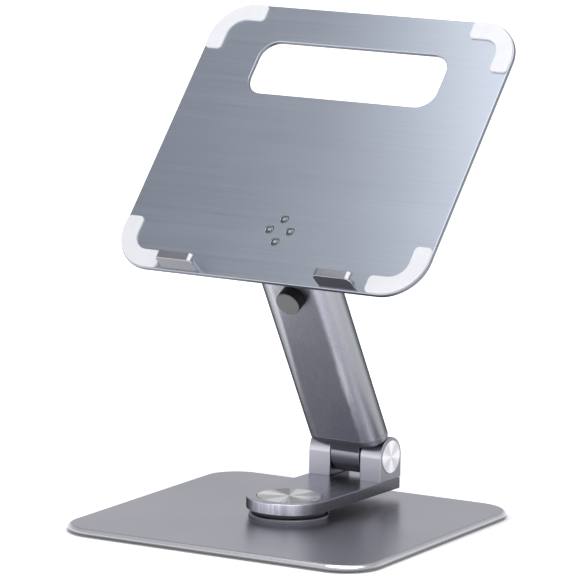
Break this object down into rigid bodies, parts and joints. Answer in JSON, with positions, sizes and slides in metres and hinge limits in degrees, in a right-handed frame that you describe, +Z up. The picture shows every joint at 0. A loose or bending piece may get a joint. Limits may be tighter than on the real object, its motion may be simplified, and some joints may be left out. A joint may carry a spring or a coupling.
{
  "type": "tablet stand",
  "caption": "Free-standing metal tablet stand: square base, swivelling foot, hinged arm and a tilting support panel with edge hooks and soft corner pads.",
  "frame": {"origin": "centre of the underside of the anti-slip pad, on the desk and on the swivel axis", "axes": "+Z up, +X to the user's right, -Y towards the user; at rest the foot, arm and panel are turned 2.3 degrees clockwise on the base, seen from above"},
  "size_m": [0.1971, 0.1818, 0.2724],
  "materials": {
    "base_anodised": "fine-brushed space grey anodising with a polished edge",
    "foot_anodised": "satin grey anodising",
    "arm_anodised": "satin dark grey anodising",
    "panel_anodised": "brushed blue-grey anodising",
    "turned_aluminium": "finely turned bright face",
    "fastener_steel": "zinc plated",
    "white_silicone": "matt soft silicone",
    "grey_silicone": "matt dark silicone",
    "black_nylon": "matt low-friction plastic"
  },
  "bodies": {
    "base": {"base_antislip_pad": "grey_silicone", "base_plate": "base_anodised", "swivel_boss": "base_anodised", "boss_screw_1": "fastener_steel", "boss_screw_2": "fastener_steel", "boss_screw_3": "fastener_steel", "pivot_bolt": "fastener_steel", "swivel_washer": "black_nylon", "pivot_spring_washer": "fastener_steel", "pivot_nut": "fastener_steel"},
    "foot": {"foot_plate": "foot_anodised", "foot_disc_cap": "turned_aluminium", "hinge_ear_left": "foot_anodised", "hinge_ear_right": "foot_anodised", "ear_screw_1": "fastener_steel", "ear_screw_2": "fastener_steel", "ear_screw_3": "fastener_steel", "ear_screw_4": "fastener_steel", "lower_cap_left": "turned_aluminium", "lower_cap_right": "turned_aluminium", "lower_hinge_pin": "fastener_steel", "lower_spring_washer": "fastener_steel", "lower_hinge_nut": "fastener_steel"},
    "arm": {"arm_lower_block": "arm_anodised", "arm_shell": "arm_anodised", "arm_bumper": "grey_silicone", "arm_screw_1": "fastener_steel", "arm_screw_2": "fastener_steel", "lower_friction_washer_left": "black_nylon", "lower_friction_washer_right": "black_nylon", "upper_friction_washer_left": "black_nylon", "upper_friction_washer_right": "black_nylon", "upper_cap_left": "turned_aluminium", "upper_cap_right": "turned_aluminium", "upper_hinge_pin": "fastener_steel", "upper_spring_washer": "fastener_steel", "upper_hinge_nut": "fastener_steel"},
    "panel": {"panel_plate": "panel_anodised", "panel_bracket": "arm_anodised", "panel_screw_1": "fastener_steel", "panel_screw_2": "fastener_steel", "panel_screw_3": "fastener_steel", "panel_screw_4": "fastener_steel", "hook_left": "panel_anodised", "hook_right": "panel_anodised", "hook_screw_1": "fastener_steel", "hook_screw_2": "fastener_steel", "hook_screw_3": "fastener_steel", "hook_screw_4": "fastener_steel", "hook_pad_left": "grey_silicone", "hook_pad_right": "grey_silicone", "corner_pad_bottom_left": "white_silicone", "corner_pad_bottom_right": "white_silicone", "corner_pad_top_left": "white_silicone", "corner_pad_top_right": "white_silicone"}
  },
  "joints": [
    {"name": "base_swivel", "type": "hinge", "parent": "base", "child": "foot", "pos_m": [0, 0, 0.009], "axis": [0, 0, 1], "continuous": true},
    {"name": "arm_pivot", "type": "hinge", "parent": "foot", "child": "arm", "pos_m": [0.00273, 0.06795, 0.02856], "axis": [0.9992, -0.0401, 0], "range_deg": [-40, 53]},
    {"name": "panel_tilt", "type": "hinge", "parent": "arm", "child": "panel", "pos_m": [-0.00013, -0.00316, 0.15282], "axis": [0.9992, -0.0401, 0], "range_deg": [-108, 54]}
  ]
}
